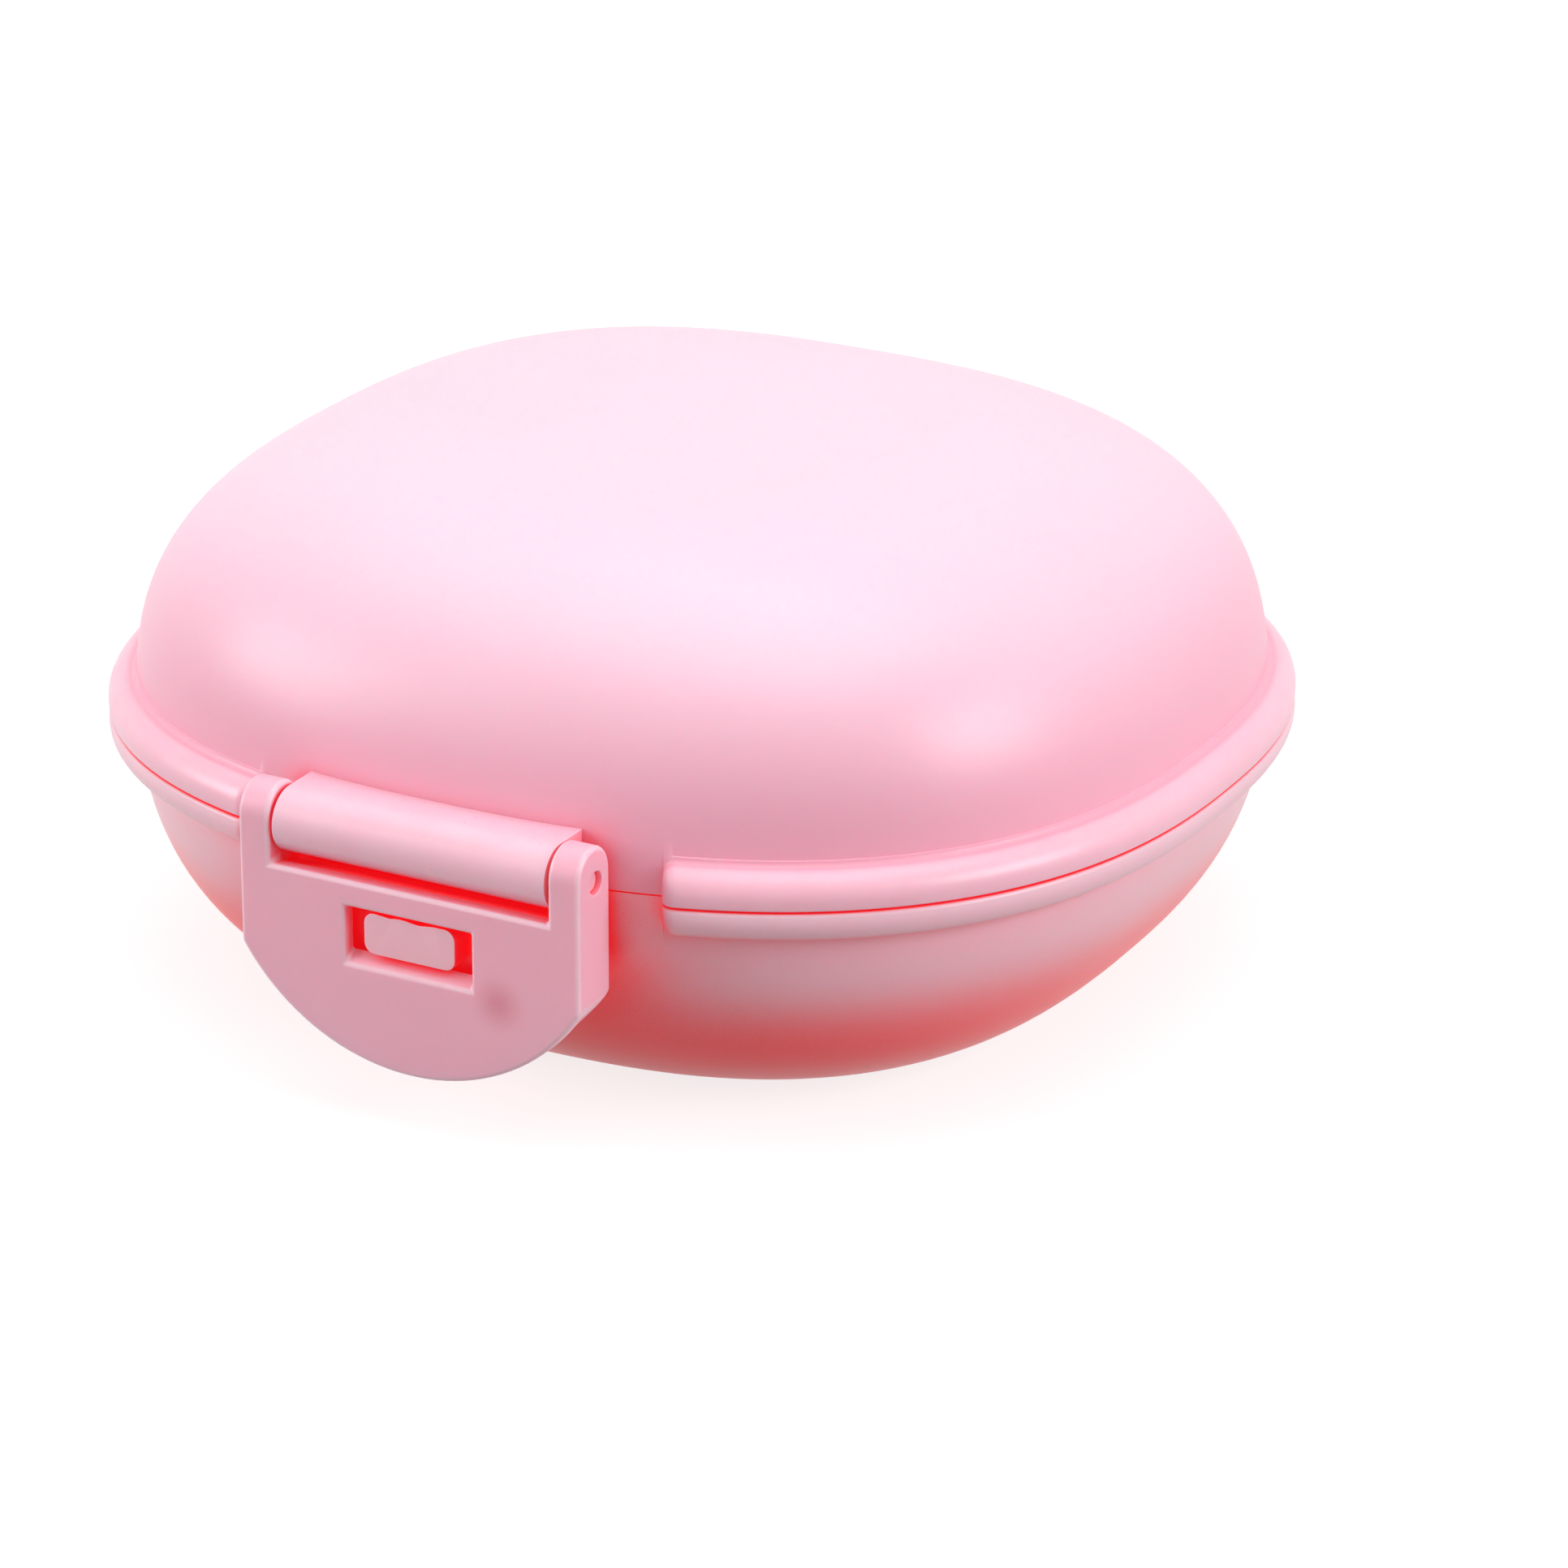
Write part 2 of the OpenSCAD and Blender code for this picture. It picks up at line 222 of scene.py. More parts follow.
def noise(tree, place, scale, detail, roughness=0.5):
    inputs = {"Vector": place, "Scale": scale, "Detail": detail, "Roughness": roughness}
    return add_node(tree, "ShaderNodeTexNoise", inputs).outputs["Fac"]


def new_group(name, inputs, outputs):
    """A node group with number or colour sockets; returns its tree, input node and output node."""
    tree = bpy.data.node_groups.new(name, "ShaderNodeTree")
    for socket, value in inputs.items():
        kind = COLOUR if isinstance(value, tuple) else NUMBER
        tree.interface.new_socket(socket, in_out="INPUT", socket_type=kind).default_value = value
    for socket, kind in outputs.items():
        tree.interface.new_socket(socket, in_out="OUTPUT", socket_type=kind)
    return tree, tree.nodes.new("NodeGroupInput"), tree.nodes.new("NodeGroupOutput")


def place_group(tree, group, **inputs):
    return add_node(tree, "ShaderNodeGroup", inputs, node_tree=group)


def object_place(tree):
    return tree.nodes.new("ShaderNodeTexCoord").outputs["Object"]


def satin_grain_group():
    """Height of a moulded surface: a fine spark-eroded grain over slow waves of shrinkage."""
    tree, given, result = new_group("Satin grain", {"Grain": 1.0, "Waves": 1.0}, {"Height": NUMBER})
    place = object_place(tree)
    fine = noise(tree, place, 5200.0, 3.0, 0.6)
    coarse = noise(tree, place, 1900.0, 2.0, 0.5)
    waves = noise(tree, place, 55.0, 1.0, 0.4)
    grain = calculate(tree, "MULTIPLY_ADD", fine, 0.6, calculate(tree, "MULTIPLY", coarse, 0.4))
    grain = calculate(tree, "MULTIPLY", grain, given.outputs["Grain"])
    waves = calculate(tree, "MULTIPLY", waves, given.outputs["Waves"])
    tree.links.new(calculate(tree, "ADD", grain, waves), result.inputs["Height"])
    return tree


def mottle_group():
    """Slow unevenness of a colour, as where the pigment flowed in the mould."""
    tree, given, result = new_group(
        "Pigment flow", {"Colour": WHITE, "Deeper": WHITE, "Amount": 0.3}, {"Colour": COLOUR}
    )
    place = object_place(tree)
    flow = noise(tree, place, 38.0, 3.0, 0.55)
    fine = noise(tree, place, 420.0, 3.0, 0.6)
    share = calculate(tree, "MULTIPLY_ADD", flow, 0.7, calculate(tree, "MULTIPLY", fine, 0.3))
    share = calculate(tree, "MULTIPLY", remap(tree, share, 0.35, 0.68), given.outputs["Amount"])
    colour = blend_colours(tree, share, given.outputs["Colour"], given.outputs["Deeper"])
    tree.links.new(colour, result.inputs["Colour"])
    return tree


def handling_group():
    """Signs of use: fine hairlines, faint smears and a few dust specks, as masks."""
    tree, given, result = new_group("Handling", {"Hairlines": 0.5}, {"Shine": NUMBER, "Specks": NUMBER})
    place = object_place(tree)
    lines = 0.0
    for turn in (0.5, 1.9, 2.8):
        turned = mapped(tree, place, Rotation=(0.4, 0.2, turn))
        drawn = noise(tree, mapped(tree, turned, Scale=(0.05, 1, 1)), 2600.0, 1.0)
        lines = calculate(tree, "MAXIMUM", lines, remap(tree, drawn, 0.72, 0.8))
    lines = calculate(tree, "MULTIPLY", lines, given.outputs["Hairlines"])
    smears = remap(tree, noise(tree, place, 60.0, 2.0, 0.5), 0.35, 0.75)
    shine = calculate(tree, "MULTIPLY_ADD", smears, 0.6, lines)
    cells = add_node(tree, "ShaderNodeTexVoronoi", {"Vector": place, "Scale": 190.0})
    near = remap(tree, cells.outputs["Distance"], 0.075, 0.045)
    chosen = add_node(tree, "ShaderNodeSeparateColor", {"Color": cells.outputs["Color"]}).outputs["Red"]
    specks = calculate(tree, "MULTIPLY", near, calculate(tree, "GREATER_THAN", chosen, 0.93))
    tree.links.new(shine, result.inputs["Shine"])
    tree.links.new(specks, result.inputs["Specks"])
    return tree


def edge_group():
    """Share of painted highlight on edges, from the piece's own edge attribute broken up by noise."""
    tree, given, result = new_group("Painted edge highlight", {"Breaks": 0.5}, {"Mask": NUMBER})
    edge = add_node(tree, "ShaderNodeAttribute", attribute_name="edge").outputs["Fac"]
    broken = remap(tree, noise(tree, object_place(tree), 330.0, 3.0, 0.6), 0.3, 0.6)
    lost = calculate(tree, "SUBTRACT", broken, 1.0)
    kept = calculate(tree, "MULTIPLY_ADD", lost, given.outputs["Breaks"], 1.0)
    tree.links.new(calculate(tree, "MULTIPLY", edge, kept), result.inputs["Mask"])
    return tree


def nook_group():
    """How deep in a nook a surface lies, as a mask for painted shade: the plastic's own colour thrown back
    and forth by light in its nooks.
    """
    tree, given, result = new_group("Nooks", {"Reach": 0.005, "Open": 0.7, "Shut": 0.3}, {"Mask": NUMBER})
    around = add_node(tree, "ShaderNodeAmbientOcclusion", {"Distance": given.outputs["Reach"]}, samples=4)
    mask = remap(tree, around.outputs["AO"], given.outputs["Open"], given.outputs["Shut"])
    tree.links.new(mask, result.inputs["Mask"])
    return tree


GRAIN = satin_grain_group()
MOTTLE = mottle_group()
HANDLING = handling_group()
EDGE_HIGHLIGHT = edge_group()
NOOKS = nook_group()


def new_material(name):
    material = bpy.data.materials.new(name)
    material.use_nodes = True
    tree = material.node_tree
    return material, tree, tree.nodes["Principled BSDF"]


def bumped(tree, shader, height, strength, depth):
    """Bumps a surface by height, over a depth in mm."""
    inputs = {"Height": height, "Strength": strength, "Distance": depth * MM}
    tree.links.new(add_node(tree, "ShaderNodeBump", inputs).outputs["Normal"], shader.inputs["Normal"])


def painted_shade_spot(tree, tone, middle, radius):
    """The tone with a soft spot of painted shade; its middle and radius are in mm."""
    inputs = {0: object_place(tree), 1: tuple(c * MM for c in middle)}
    away = add_node(tree, "ShaderNodeVectorMath", inputs, operation="DISTANCE").outputs["Value"]
    darkened = calculate(tree, "MULTIPLY", remap(tree, away, radius * MM, 0.0), 0.6)
    return blend_colours(tree, darkened, tone, SPOT_SHADE_COLOUR)


def used_surface(tree, shader, tone, pale, roughness):
    """The tone with a painted highlight on its edges and dust on it; the highlit edges and what is handled
    are a little smoother.
    """
    edge_highlight = place_group(tree, EDGE_HIGHLIGHT, Breaks=0.2).outputs["Mask"]
    handling = place_group(tree, HANDLING, Hairlines=0.5)
    # Painted highlight on the edges.
    tone = blend_colours(tree, calculate(tree, "MULTIPLY", edge_highlight, 0.5), tone, (*pale, 1))
    dusty = calculate(tree, "MULTIPLY", handling.outputs["Specks"], 0.35)
    tree.links.new(blend_colours(tree, dusty, tone, DUST_COLOUR), shader.inputs["Base Color"])
    rough = calculate(tree, "MULTIPLY_ADD", handling.outputs["Shine"], -0.07, roughness)
    rough = calculate(tree, "MULTIPLY_ADD", edge_highlight, -0.08, rough)
    tree.links.new(rough, shader.inputs["Roughness"])


def moulded_pink(name, colour, deeper, nook, painted_height_shade=None, shade_spot=None, roughness=0.38):
    """Translucent satin plastic with painted shade and a painted red glow, standing for light shining
    through, in its nooks.

    nook gives the colour of the painted shade there, the strength of the painted glow, the reach in mm, and
    the open shares where it starts and is full.
    painted_height_shade gives a colour of painted shade for the lowest parts and the two heights, in mm,
    between which it fades out.
    shade_spot gives the middle and the radius, in mm, of a spot of painted shade.
    """
    nook_shade_colour, glow, reach, open_share, shut_share = nook
    material, tree, shader = new_material(name)
    mottled = place_group(tree, MOTTLE, Colour=(*colour, 1), Deeper=(*deeper, 1), Amount=0.45)
    tone = mottled.outputs["Colour"]
    # Mask of nooks for painted shade and a painted glow.
    nook_shade = place_group(tree, NOOKS, Reach=reach * MM, Open=open_share, Shut=shut_share).outputs["Mask"]
    painted_glow_mask = nook_shade
    # Painted shade by height: the lowest parts take a deeper colour, and the painted glow is dimmer there.
    if painted_height_shade:
        low_shade_colour, low, high = painted_height_shade
        height = add_node(tree, "ShaderNodeSeparateXYZ", {"Vector": object_place(tree)}).outputs["Z"]
        share = remap(tree, height, low * MM, high * MM)
        tone = blend_colours(tree, share, (*low_shade_colour, 1), tone)
        dimmed = calculate(tree, "MULTIPLY_ADD", share, 0.65, 0.35)
        painted_glow_mask = calculate(tree, "MULTIPLY", nook_shade, dimmed)
    # A spot of painted shade.
    if shade_spot:
        tone = painted_shade_spot(tree, tone, *shade_spot)
    # Painted shade in the nooks.
    tone = blend_colours(tree, nook_shade, tone, (*nook_shade_colour, 1))
    # A painted red glow from the nooks, given as emission.
    painted_glow_colour = blend_colours(tree, painted_glow_mask, DARK, (glow, glow * 0.01, glow * 0.02, 1))
    tree.links.new(painted_glow_colour, shader.inputs["Emission Color"])
    # The colour of the painted edge highlight.
    pale = tuple(min(1.0, 0.55 * c + 0.45) for c in colour)
    used_surface(tree, shader, tone, pale, roughness)
    bumped(tree, shader, place_group(tree, GRAIN, Grain=0.5, Waves=4.0).outputs["Height"], 0.35, 0.02)
    shader.inputs["Emission Strength"].default_value = 1.0
    shader.inputs["IOR"].default_value = 1.49
    shader.inputs["Subsurface Weight"].default_value = 0.5
    shader.inputs["Subsurface Radius"].default_value = (1.0, 0.15, 0.2)
    shader.inputs["Subsurface Scale"].default_value = 2.0 * MM
    return material


def drawn_steel():
    """Steel wire drawn along X, with fine draw lines and a few dull patches."""
    material, tree, shader = new_material("Pin steel")
    place = object_place(tree)
    lines = noise(tree, mapped(tree, place, Scale=(0.04, 1.0, 1.0)), 9000.0, 3.0, 0.6)
    dull = remap(tree, noise(tree, place, 600.0, 3.0, 0.6), 0.4, 0.7)
    tone = blend_colours(tree, dull, (0.62, 0.62, 0.63, 1), (0.44, 0.43, 0.42, 1))
    tree.links.new(tone, shader.inputs["Base Color"])
    rough = calculate(tree, "MULTIPLY_ADD", lines, 0.16, 0.22)
    tree.links.new(calculate(tree, "MULTIPLY_ADD", dull, 0.15, rough), shader.inputs["Roughness"])
    bumped(tree, shader, lines, 0.4, 0.01)
    shader.inputs["Metallic"].default_value = 1.0
    return material


def soft_rubber():
    """Matt off-white silicone strip with a faint bloom."""
    material, tree, shader = new_material("Seal rubber")
    mottled = place_group(
        tree, MOTTLE, Colour=(0.83, 0.81, 0.78, 1), Deeper=(0.7, 0.67, 0.62, 1), Amount=0.8
    )
    tree.links.new(mottled.outputs["Colour"], shader.inputs["Base Color"])
    handling = place_group(tree, HANDLING, Hairlines=0.2)
    rough = calculate(tree, "MULTIPLY_ADD", handling.outputs["Shine"], -0.12, 0.66)
    tree.links.new(rough, shader.inputs["Roughness"])
    bumped(tree, shader, place_group(tree, GRAIN, Grain=1.0, Waves=2.0).outputs["Height"], 0.5, 0.02)
    shader.inputs["Subsurface Weight"].default_value = 0.2
    shader.inputs["Subsurface Scale"].default_value = 1.0 * MM
    return material


# In each pink, nook gives painted shade and a painted glow.
LID_PINK = moulded_pink(
    "Lid pink",
    (0.94, 0.65, 0.765),
    (0.93, 0.61, 0.72),
    nook=((0.93, 0.14, 0.2), 0.1, 8.0, 0.62, 0.25),
    # Painted shade and sheen by height: deeper pink low on the dome, paler towards the top.
    painted_height_shade=((0.93, 0.43, 0.55), 23.5, 41.0),
)
BASE_PINK = moulded_pink(
    "Base pink",
    (0.94, 0.56, 0.65),
    (0.93, 0.52, 0.61),
    nook=((0.94, 0.02, 0.032), 0.22, 20.0, 0.8, 0.4),
    # Painted shade by height: deep red towards the bottom of the bowl.
    painted_height_shade=((0.94, 0.12, 0.11), 0.0, 16.0),
)
CLIP_PINK = moulded_pink(
    "Clip pink",
    (0.93, 0.48, 0.59),
    (0.92, 0.44, 0.55),
    nook=((0.95, 0.1, 0.15), 0.1, 2.0, 0.66, 0.28),
    # A soft spot of painted shade on the plate's front.
    shade_spot=((7.4, CLIP_FRONT, 12.0), 2.6),
)
TRAY_PINK = moulded_pink(
    "Tray pink",
    (0.93, 0.52, 0.6),
    (0.91, 0.47, 0.55),
    nook=((0.93, 0.1, 0.16), 0.0, 5.0, 0.66, 0.28),
    roughness=0.42,
)
PIN_STEEL = drawn_steel()
SEAL_RUBBER = soft_rubber()


# Making and finishing pieces


def finish_piece(bm, name, material, body, slot, *nodes):
    """Turns a mesh built in millimetres into a piece in metres, with smooth faces and sharp corners."""
    bmesh.ops.remove_doubles(bm, verts=bm.verts, dist=MERGE)
    bmesh.ops.recalc_face_normals(bm, faces=bm.faces)
    bmesh.ops.scale(bm, vec=(MM, MM, MM), verts=bm.verts)
    for face in bm.faces:
        face.smooth = True
    for edge in bm.edges:
        edge.smooth = edge.calc_face_angle(0) < math.radians(SHARP_TURN)
    mesh = bpy.data.meshes.new(name)
    bm.to_mesh(mesh)
    bm.free()
    piece = bpy.data.objects.new(name, mesh)
    bpy.context.scene.collection.objects.link(piece)
    mesh.materials.append(material)
    piece.modifiers.new("Even shading", "WEIGHTED_NORMAL").keep_sharp = True
    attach(piece, body)
    if nodes:
        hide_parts(*nodes)


def new_mesh():
    bm = bmesh.new()
    # The edge layer holds each vertex's share of painted edge highlight.
    bm.verts.layers.float.new("edge")
    return bm


# Gives vertices a share of painted edge highlight.
def paint_edge_highlight(bm, verts, share=1.0):
    layer = bm.verts.layers.float["edge"]
    for vert in verts:
        vert[layer] = share


def arc(x, z, rx, rz, start, end, steps):
    """Points of an elliptic arc from the angle start to the angle end, in degrees."""
    angles = [math.radians(start + (end - start) * i / steps) for i in range(steps + 1)]
    return [(x + rx * math.cos(a), z + rz * math.sin(a)) for a in angles]


def bevel_edges(bm, edges, radius, steps=3):
    """Rounds edges and gives what lies wholly inside the rounding a painted highlight."""
    made = bmesh.ops.bevel(
        bm,
        geom=edges,
        offset=radius,
        offset_type="OFFSET",
        segments=steps,
        profile=0.5,
        affect="EDGES",
        clamp_overlap=True,
        material=-1,
    )
    rounded = set(made["faces"])
    verts = {vert for face in rounded for vert in face.verts}
    paint_edge_highlight(bm, [vert for vert in verts if rounded.issuperset(vert.link_faces)])


def loop_of(bm, points):
    """A closed ring of edges through points."""
    verts = [bm.verts.new(point) for point in points]
    return [bm.edges.new((verts[i - 1], verts[i])) for i in range(len(verts))]


def is_outline(edge, along):
    """Whether an edge is a sharp one of an extruded face's outline, across the direction along."""
    run = edge.verts[1].co - edge.verts[0].co
    return edge.calc_face_angle(0) > math.radians(50) and abs(run @ along) < NEAR


def extrude(bm, rings, direction, rounding):
    """Fills rings, the first an outline and the rest holes in it, and extrudes the face with round rims."""
    filled = bmesh.ops.triangle_fill(bm, edges=[edge for ring in rings for edge in ring], use_beauty=True)
    faces = [g for g in filled["geom"] if isinstance(g, bmesh.types.BMFace)]
    grown = bmesh.ops.extrude_face_region(bm, geom=faces, use_keep_orig=True)["geom"]
    moved = [g for g in grown if isinstance(g, bmesh.types.BMVert)]
    bmesh.ops.translate(bm, vec=direction, verts=moved)
    whole = {*moved, *(vert for face in faces for vert in face.verts)}
    around = {face for vert in whole for face in vert.link_faces}
    bmesh.ops.recalc_face_normals(bm, faces=list(around))
    along = Vector(direction).normalized()
    edges = {edge for face in around for edge in face.edges}
    bevel_edges(bm, [edge for edge in edges if is_outline(edge, along)], rounding)


def extrude_along_x(bm, outline, start, end, rounding, hole=None):
    """A profile drawn in Y and Z, with an optional round hole (y, z, radius), between two places in X."""
    rings = [loop_of(bm, [(start, y, z) for y, z in outline])]
    if hole:
        y, z, radius = hole
        rings.append(loop_of(bm, [(start, *point) for point in arc(y, z, radius, radius, 0, 337.5, 15)]))
    extrude(bm, rings, (end - start, 0, 0), rounding)


# The rim's outline and the shells that are spun and pulled to it


def outline_radius(angle, half_width, half_depth, squareness):
    across = abs(math.cos(angle)) / half_width
    along = abs(math.sin(angle)) / half_depth
    return (across**squareness + along**squareness) ** (-1 / squareness)


def bead_share(past_end):
    """Share of the bead's section at a distance past its end: a flat cut with a rounded edge."""
    if past_end <= 0:
        return 0.0
    to_go = max(0.0, 1 - past_end / END_ROUND)
    corner = END_ROUND / BEAD_PROUD
    return 1 - corner + corner * math.sqrt(1 - to_go**2)


def rim_stations():
    """Angle and bead share of every step round the rim.

    The steps past a bead's end are closest where its rounding is steepest.
    """
    end_steps = [0.0, 0.02, 0.07, 0.16, 0.28, 0.42, 0.58, 0.74, END_ROUND]
    right_front = -math.pi / 2 + math.asin(RIGHT_END_X / WALL_D)
    left_front = 1.5 * math.pi - math.asin(LEFT_END_X / WALL_D)
    right_back = math.pi / 2 - math.asin(BACK_END_X / WALL_D)
    left_back = math.pi - right_back
    stations = []
    for start, end in ((right_front, right_back), (left_back, left_front)):
        turn = end_steps[-1] / WALL_D
        stations += [(start + step / WALL_D, bead_share(step)) for step in end_steps[:-1]]
        stations += [(angle, 1.0) for angle in np.linspace(start + turn, end - turn, BEAD_STEPS)]
        stations += [(end - step / WALL_D, bead_share(step)) for step in end_steps[-2::-1]]
    for start, end in ((right_back, left_back), (left_front, right_front + 2 * math.pi)):
        stations += [(angle, 0.0) for angle in np.linspace(start, end, BARE_STEPS)[1:-1]]
    return sorted(stations)


STATIONS = rim_stations()


def bare_wall(z, height, flat, fullness):
    """Half width of the wall behind the bead at the distance z from the seam."""
    angle = math.asin(min(1.0, max(0.0, z / height)) ** (fullness / 2))
    return WALL_W * (flat + (1 - flat) * math.cos(angle) ** (2 / fullness))


def spin_shell(bm, section, height, flat, fullness, upwards, crest_end=0.0, crest_pale=0.0):
    """Spins a section of half widths and distances from the seam, then pulls it to the rim's outline.

    The bead's crest gets a painted highlight, by the share crest_pale, as far as the distance crest_end from
    the seam.
    """
    edge_highlight = bm.verts.layers.float["edge"]
    verts = [bm.verts.new((x, 0, z)) for x, z in section]
    edges = [bm.edges.new(pair) for pair in zip(verts, verts[1:])]
    count = len(STATIONS)
    bmesh.ops.spin(
        bm, geom=verts + edges, axis=(0, 0, 1), cent=(0, 0, 0), angle=2 * math.pi, steps=count, use_merge=True
    )
    bmesh.ops.remove_doubles(bm, verts=bm.verts, dist=MERGE)
    for vert in bm.verts:
        x, y, z = vert.co
        step = round(math.atan2(y, x) % (2 * math.pi) / (2 * math.pi) * count) % count
        angle, share = STATIONS[step]
        half_width = math.hypot(x, y)
        half_depth = half_width * WALL_D / WALL_W
        wall = bare_wall(z, height, flat, fullness)
        if half_width > wall + NEAR:
            # Painted highlight along the bead's crest.
            if half_width > wall + CREST_START and CREST_LOW < z < crest_end:
                vert[edge_highlight] = crest_pale * share
            z = SEAM + (z - SEAM) * (1 - END_DROP * (1 - share))
            proud = (half_width - wall) * share
            wall = bare_wall(z, height, flat, fullness)
            half_width = wall + proud
            half_depth = half_width - wall + wall * WALL_D / WALL_W
        rise = min(1.0, max(0.0, z / height))
        squareness = SQUARENESS + (END_SQUARENESS - SQUARENESS) * rise
        radius = outline_radius(angle, max(half_width, TINY), max(half_depth, TINY), squareness)
        vert.co = (radius * math.cos(angle), radius * math.sin(angle), BASE_H + (z if upwards else -z))


def shoulder(inset, height, flat, fullness, crown, low, high, steps):
    """Half widths and heights up a shoulder between two angles in degrees."""
    points = []
    for i in range(steps + 1):
        angle = math.radians(low + (high - low) * i / steps)
        width = flat + (1 - flat) * max(0.0, math.cos(angle)) ** (2 / fullness)
        rise = math.sin(angle) ** (2 / fullness)
        level = (height - inset) * (rise * (1 - crown) + crown * (1 - width**2))
        points.append(((WALL_W - inset) * width, level))
    return points


def flat_end(inset, height, flat, crown):
    """The nearly flat middle of a shell, from its shoulder to the pole."""
    shares = [flat * (1 - i / POLE_STEPS) for i in range(1, POLE_STEPS + 1)]
    return [((WALL_W - inset) * share, (height - inset) * (1 - crown * share**2)) for share in shares]


def shoulder_angle(rise, fullness):
    return math.degrees(math.asin(rise ** (fullness / 2)))


def bead_outline(height, crease, lip_round):
    """A rim bead from the wall down to the seam: a hollow crease, a round crest and a rounded lip."""
    top = height - crease * 0.6
    hollow = arc(WALL_W + crease, top + crease * 0.75, crease, crease, 180, 262, 5)
    crest = arc(WALL_W, BEAD_FOOT, BEAD_PROUD, top - BEAD_FOOT, 70, 0, 12)
    lip = arc(WALL_W + BEAD_PROUD - lip_round, SEAM + lip_round, lip_round, lip_round, 0, -90, 4)
    return hollow + crest + lip


def lid_section():
    """The lid's section from the outer pole over the rim to the inner pole."""
    low = shoulder_angle((LID_BEAD_H + CREASE_ROUND / 2) / LID_H, LID_FULLNESS)
    outer = shoulder(0, LID_H, LID_FLAT, LID_FULLNESS, CROWN, low, 90, 30)
    inner_low = shoulder_angle((GROOVE_H + ROOF_RISE) / (LID_H - WALL), LID_FULLNESS)
    inner = shoulder(WALL, LID_H, LID_FLAT, LID_FULLNESS, CROWN, inner_low, 90, 20)
    groove_out = WALL_W - WALL
    rib_out = groove_out - GROOVE_W
    rib_in = rib_out - RIB_T
    return (
        flat_end(0, LID_H, LID_FLAT, CROWN)[::-1]
        + outer[::-1]
        + bead_outline(LID_BEAD_H, CREASE_ROUND, LID_LIP)
        + [(groove_out + LIP_ROUND, SEAM)]
        + arc(groove_out + LIP_ROUND, SEAM + LIP_ROUND, LIP_ROUND, LIP_ROUND, 270, 180, 3)
        + [(groove_out, GROOVE_H), (rib_out, GROOVE_H)]
        + arc(rib_out - LIP_ROUND, RIB_FOOT + LIP_ROUND, LIP_ROUND, LIP_ROUND, 0, -90, 3)
        + arc(rib_in + LIP_ROUND, RIB_FOOT + LIP_ROUND, LIP_ROUND, LIP_ROUND, 270, 180, 3)
        + [(rib_in, RIB_TOP)]
        + inner
        + flat_end(WALL, LID_H, LID_FLAT, CROWN)
    )


def bowl_section():
    """The bowl's section from the underside over the rim and its tongue to the floor inside."""
    low = shoulder_angle((BASE_BEAD_H + CREASE_ROUND / 4) / BASE_H, BASE_FULLNESS)
    outer = shoulder(0, BASE_H, BASE_FLAT, BASE_FULLNESS, 0, low, 90, 28)
    inner = shoulder(WALL, BASE_H, BASE_FLAT, BASE_FULLNESS, 0, 8, 90, 22)
    tongue_out = WALL_W - WALL - (GROOVE_W - TONGUE_T) / 2
    tongue_in = tongue_out - TONGUE_T
    return (
        flat_end(0, BASE_H, BASE_FLAT, 0)[::-1]
        + outer[::-1]
        + bead_outline(BASE_BEAD_H, CREASE_ROUND / 2, BOWL_LIP)
        + [(tongue_out, SEAM)]
        + arc(tongue_out - LIP_ROUND, LIP_ROUND - TONGUE_H, LIP_ROUND, LIP_ROUND, 0, -90, 3)
        + arc(tongue_in + LIP_ROUND, LIP_ROUND - TONGUE_H, LIP_ROUND, LIP_ROUND, 270, 180, 3)
        + [(tongue_in, TONGUE_FOOT)]
        + inner
        + flat_end(WALL, BASE_H, BASE_FLAT, 0)
    )


def lid_dome():
    bm = new_mesh()
    crest_end = LID_BEAD_H - CREST_LOW
    spin_shell(bm, lid_section(), LID_H, LID_FLAT, LID_FULLNESS, True, crest_end, LID_CREST_PALE)
    finish_piece(bm, "lid_dome", LID_PINK, "lid", "lid_pink", "lid_shell")


def bowl():
    bm = new_mesh()
    spin_shell(bm, bowl_section(), BASE_H, BASE_FLAT, BASE_FULLNESS, False, BEAD_FOOT, BOWL_CREST_PALE)
    finish_piece(bm, "bowl", BASE_PINK, "base", "base_pink", "base_shell")


# Moulded details of the shells


def clip_bracket():
    """Round barrel with a flat-topped web to the lid's wall."""
    web_low = BASE_H + MOVING_GAP
    meet = math.degrees(math.asin((PIVOT_Z - web_low) / BARREL_R))
    outline = arc(PIVOT_Y, PIVOT_Z, BARREL_R, BARREL_R, -meet, -270, 40)
    outline += [(-WEB_END, PIVOT_Z + BARREL_R), (-WEB_END, web_low)]
    bm = new_mesh()
    extrude_along_x(bm, outline, -BARREL_W / 2, BARREL_W / 2, WEB_ROUND)
    # A painted highlight along the barrel.
    on_barrel = [vert for vert in bm.verts if vert.co.z > web_low and vert.co.y < PIVOT_Y + 1]
    paint_edge_highlight(bm, on_barrel, BARREL_PALE)
    finish_piece(bm, "clip_bracket", LID_PINK, "lid", "lid_pink")


def knuckle(name, start, end, side, material, body, slot):
    """One hinge knuckle with its web to the wall, above the seam with side 1, below with -1."""
    foot = BASE_H + side * MOVING_GAP
    meet = math.degrees(math.asin(MOVING_GAP / HINGE_R))
    barrel = arc(HINGE_Y, 0, HINGE_R, HINGE_R, 90, -180 + meet, 40)
    outline = [(y, BASE_H + side * z) for y, z in barrel]
    outline += [(WEB_END, foot), (WEB_END, BASE_H + side * HINGE_WEB_H)]
    bm = new_mesh()
    extrude_along_x(bm, outline, start, end, WEB_ROUND, (HINGE_Y, BASE_H, TIGHT_BORE))
    finish_piece(bm, name, material, body, slot)


